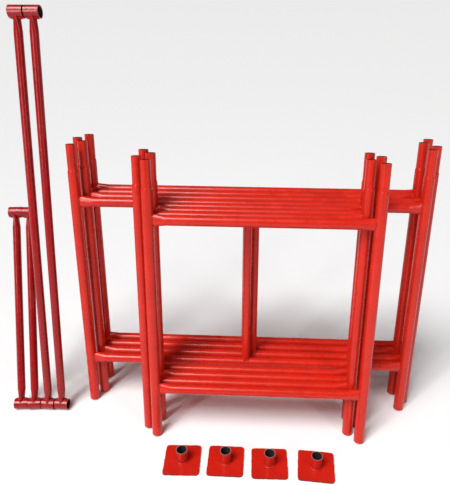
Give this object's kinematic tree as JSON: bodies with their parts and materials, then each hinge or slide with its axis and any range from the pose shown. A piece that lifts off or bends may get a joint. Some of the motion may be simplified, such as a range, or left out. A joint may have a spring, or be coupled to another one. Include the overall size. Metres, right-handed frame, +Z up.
{
  "type": "frame scaffold kit",
  "caption": "Knocked-down steel tower scaffold: wide and narrow welded end frames leaning in two stacks, with plain collar-ended braces and socketed base plates.",
  "frame": {"origin": "centre of the underside of the first base plate, on the floor", "axes": "+X along the stacks towards the right, +Y from the base plates to the stacks, +Z up"},
  "size_m": [2.0535, 0.8555, 1.83],
  "materials": {
    "frame_paint": "gloss red paint, slightly worn",
    "brace_paint": "gloss red paint, slightly worn",
    "plate_paint": "gloss red paint over flame-cut plate"
  },
  "bodies": {
    "wide_frame_1": {"wide_1_left_leg": "frame_paint", "wide_1_right_leg": "frame_paint", "wide_1_top_rung": "frame_paint", "wide_1_bottom_rung": "frame_paint", "wide_1_centre_post": "frame_paint"},
    "wide_frame_2": {"wide_2_left_leg": "frame_paint", "wide_2_right_leg": "frame_paint", "wide_2_top_rung": "frame_paint", "wide_2_bottom_rung": "frame_paint", "wide_2_centre_post": "frame_paint"},
    "wide_frame_3": {"wide_3_left_leg": "frame_paint", "wide_3_right_leg": "frame_paint", "wide_3_top_rung": "frame_paint", "wide_3_bottom_rung": "frame_paint", "wide_3_centre_post": "frame_paint"},
    "wide_frame_4": {"wide_4_left_leg": "frame_paint", "wide_4_right_leg": "frame_paint", "wide_4_top_rung": "frame_paint", "wide_4_bottom_rung": "frame_paint", "wide_4_centre_post": "frame_paint"},
    "narrow_frame_1": {"narrow_1_left_leg": "frame_paint", "narrow_1_right_leg": "frame_paint", "narrow_1_top_rung": "frame_paint", "narrow_1_bottom_rung": "frame_paint"},
    "narrow_frame_2": {"narrow_2_left_leg": "frame_paint", "narrow_2_right_leg": "frame_paint", "narrow_2_top_rung": "frame_paint", "narrow_2_bottom_rung": "frame_paint"},
    "narrow_frame_3": {"narrow_3_left_leg": "frame_paint", "narrow_3_right_leg": "frame_paint", "narrow_3_top_rung": "frame_paint", "narrow_3_bottom_rung": "frame_paint"},
    "narrow_frame_4": {"narrow_4_left_leg": "frame_paint", "narrow_4_right_leg": "frame_paint", "narrow_4_top_rung": "frame_paint", "narrow_4_bottom_rung": "frame_paint"},
    "short_brace_1": {"short_1_tube": "brace_paint", "short_1_bottom_collar": "brace_paint", "short_1_top_collar": "brace_paint"},
    "short_brace_2": {"short_2_tube": "brace_paint", "short_2_bottom_collar": "brace_paint", "short_2_top_collar": "brace_paint"},
    "long_brace_1": {"long_1_tube": "brace_paint", "long_1_bottom_collar": "brace_paint", "long_1_top_collar": "brace_paint"},
    "long_brace_2": {"long_2_tube": "brace_paint", "long_2_bottom_collar": "brace_paint", "long_2_top_collar": "brace_paint"},
    "base_plate_1": {"base_1_plate": "plate_paint", "base_1_socket": "frame_paint"},
    "base_plate_2": {"base_2_plate": "plate_paint", "base_2_socket": "frame_paint"},
    "base_plate_3": {"base_3_plate": "plate_paint", "base_3_socket": "frame_paint"},
    "base_plate_4": {"base_4_plate": "plate_paint", "base_4_socket": "frame_paint"}
  },
  "joints": [
    {"name": "wide_frame_1_lift_off", "type": "slide", "parent": "wide_frame_4", "child": "wide_frame_1", "axis": [0, 0.153, 0.9882], "range_m": [0, 2.7]},
    {"name": "wide_frame_2_lift_off", "type": "slide", "parent": "wide_frame_4", "child": "wide_frame_2", "axis": [0, 0.153, 0.9882], "range_m": [0, 2.7]},
    {"name": "wide_frame_3_lift_off", "type": "slide", "parent": "wide_frame_4", "child": "wide_frame_3", "axis": [0, 0.153, 0.9882], "range_m": [0, 2.7]},
    {"name": "narrow_frame_1_lift_off", "type": "slide", "parent": "wide_frame_4", "child": "narrow_frame_1", "axis": [0, 0.1788, 0.9839], "range_m": [0, 1.35]},
    {"name": "narrow_frame_2_lift_off", "type": "slide", "parent": "wide_frame_4", "child": "narrow_frame_2", "axis": [0, 0.1788, 0.9839], "range_m": [0, 1.35]},
    {"name": "narrow_frame_3_lift_off", "type": "slide", "parent": "wide_frame_4", "child": "narrow_frame_3", "axis": [0, 0.1788, 0.9839], "range_m": [0, 1.35]},
    {"name": "narrow_frame_4_lift_off", "type": "slide", "parent": "wide_frame_4", "child": "narrow_frame_4", "axis": [0, 0.1788, 0.9839], "range_m": [0, 1.35]},
    {"name": "short_brace_1_lift_off", "type": "slide", "parent": "wide_frame_4", "child": "short_brace_1", "axis": [-0.0467, 0.4516, 0.891], "range_m": [0, 1.05]},
    {"name": "short_brace_2_lift_off", "type": "slide", "parent": "wide_frame_4", "child": "short_brace_2", "axis": [-0.0467, 0.4516, 0.891], "range_m": [0, 1.05]},
    {"name": "long_brace_1_lift_off", "type": "slide", "parent": "wide_frame_4", "child": "long_brace_1", "axis": [0.0062, 0.2368, 0.9715], "range_m": [0, 1.9]},
    {"name": "long_brace_2_lift_off", "type": "slide", "parent": "wide_frame_4", "child": "long_brace_2", "axis": [0.0062, 0.2368, 0.9715], "range_m": [0, 1.9]},
    {"name": "base_plate_1_lift_off", "type": "slide", "parent": "wide_frame_4", "child": "base_plate_1", "axis": [0, 0, 1], "range_m": [0, 0.15]},
    {"name": "base_plate_2_lift_off", "type": "slide", "parent": "wide_frame_4", "child": "base_plate_2", "axis": [0, 0, 1], "range_m": [0, 0.15]},
    {"name": "base_plate_3_lift_off", "type": "slide", "parent": "wide_frame_4", "child": "base_plate_3", "axis": [0, 0, 1], "range_m": [0, 0.15]},
    {"name": "base_plate_4_lift_off", "type": "slide", "parent": "wide_frame_4", "child": "base_plate_4", "axis": [0, 0, 1], "range_m": [0, 0.15]}
  ]
}
